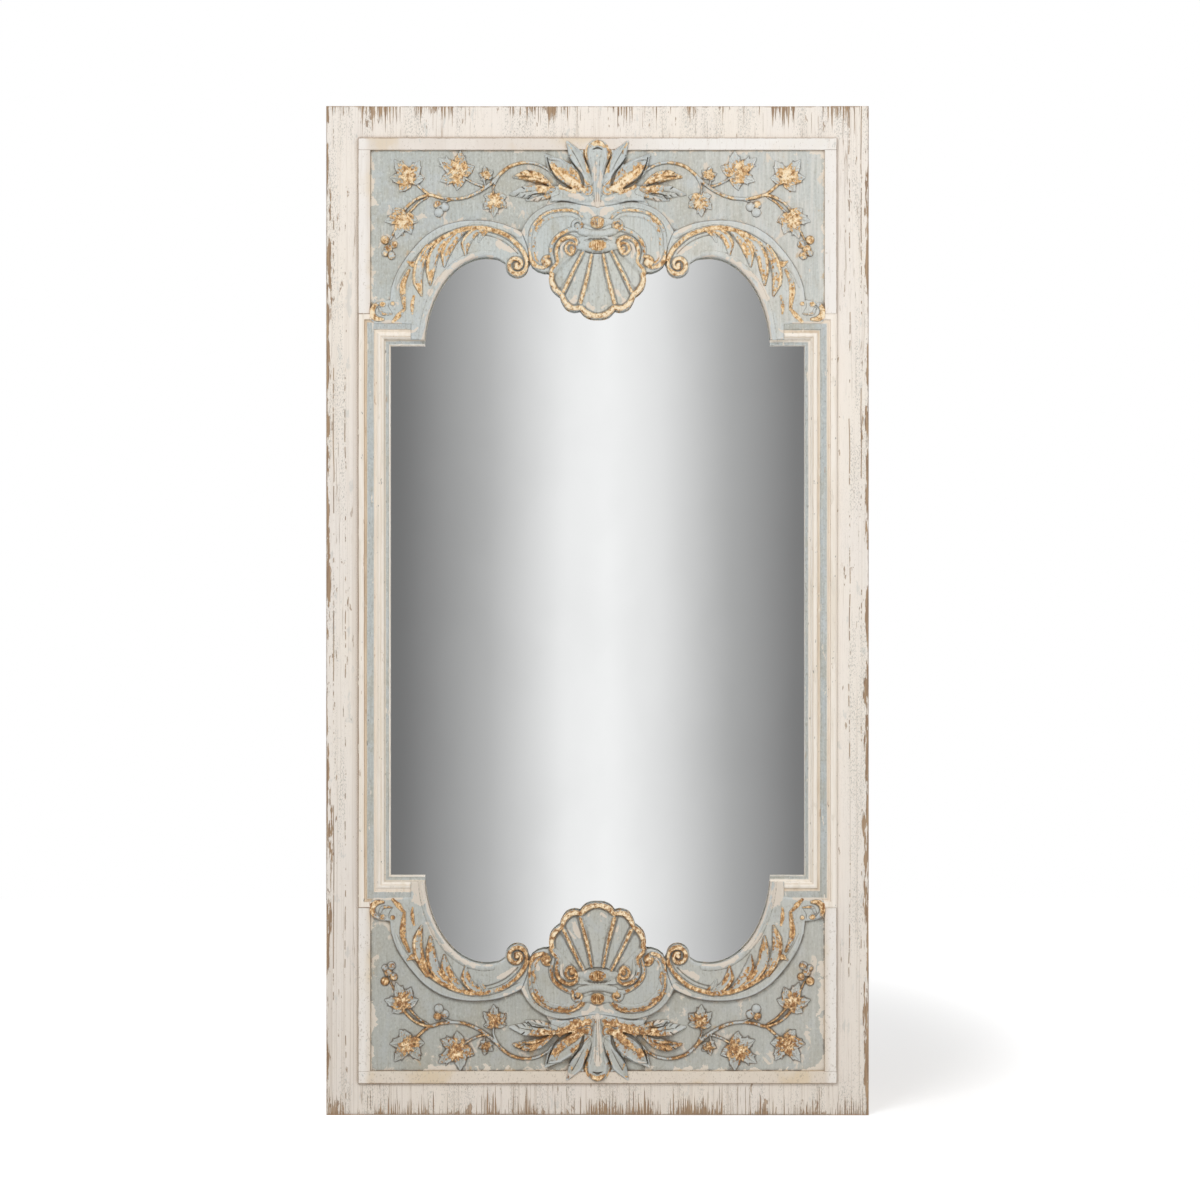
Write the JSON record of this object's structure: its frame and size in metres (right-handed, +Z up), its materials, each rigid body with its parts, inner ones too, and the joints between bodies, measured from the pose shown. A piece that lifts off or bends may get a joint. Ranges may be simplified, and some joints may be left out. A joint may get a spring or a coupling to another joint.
{
  "type": "carved wood mirror",
  "caption": "Tall rectangular mirror in a painted wood frame, with carved arched panels of shells, scrolls, acanthus and vines at both ends; leans on a floor or hangs by ring hangers.",
  "frame": {"origin": "under the middle of the foot, at the middle of the depth", "axes": "+Z up along the mirror's height, +X to the right seen from the front, the glass faces -Y"},
  "size_m": [0.968, 0.0684, 1.8],
  "materials": {
    "white_paint": "distressed white paint",
    "blue_paint": "dry-brushed grey-blue paint",
    "gilt": "rubbed gilding over paint",
    "bare_wood": "sawn softwood",
    "plywood": "unfinished",
    "mirror": "silvered plate",
    "steel": "zinc plated"
  },
  "bodies": {
    "frame": {"back_panel": "plywood", "back_panel_screws": "steel", "bottom_cartouche": "white_paint", "bottom_crest": "gilt", "bottom_glazing_bead": "bare_wood", "bottom_knot": "gilt", "bottom_panel": "blue_paint", "bottom_rail": "white_paint", "bottom_shell": "gilt", "bottom_strip": "white_paint", "hanger_screws": "steel", "left_glazing_bead": "bare_wood", "left_hanger_strap": "steel", "left_sight_moulding": "blue_paint", "left_stile": "white_paint", "lower_cross_rail": "bare_wood", "lower_left_arch_band": "white_paint", "lower_left_leaf_spray": "gilt", "lower_left_return": "blue_paint", "lower_left_strip": "white_paint", "lower_left_vine": "gilt", "lower_right_arch_band": "white_paint", "lower_right_leaf_spray": "gilt", "lower_right_return": "blue_paint", "lower_right_strip": "white_paint", "lower_right_vine": "gilt", "mirror_glass": "mirror", "right_glazing_bead": "bare_wood", "right_hanger_strap": "steel", "right_sight_moulding": "blue_paint", "right_stile": "white_paint", "top_cartouche": "white_paint", "top_crest": "gilt", "top_glazing_bead": "bare_wood", "top_knot": "gilt", "top_panel": "blue_paint", "top_rail": "white_paint", "top_shell": "gilt", "top_strip": "white_paint", "upper_cross_rail": "bare_wood", "upper_left_arch_band": "white_paint", "upper_left_leaf_spray": "gilt", "upper_left_return": "blue_paint", "upper_left_strip": "white_paint", "upper_left_vine": "gilt", "upper_right_arch_band": "white_paint", "upper_right_leaf_spray": "gilt", "upper_right_return": "blue_paint", "upper_right_strip": "white_paint", "upper_right_vine": "gilt"},
    "left_ring": {"left_hanger_ring": "steel"},
    "right_ring": {"right_hanger_ring": "steel"}
  },
  "joints": [
    {"name": "left_ring_hinge", "type": "hinge", "parent": "frame", "child": "left_ring", "pos_m": [-0.45, 0.03, 1.4], "axis": [1, 0, 0], "range_deg": [0, 178]},
    {"name": "right_ring_hinge", "type": "hinge", "parent": "frame", "child": "right_ring", "pos_m": [0.45, 0.03, 1.4], "axis": [1, 0, 0], "range_deg": [0, 178]}
  ]
}
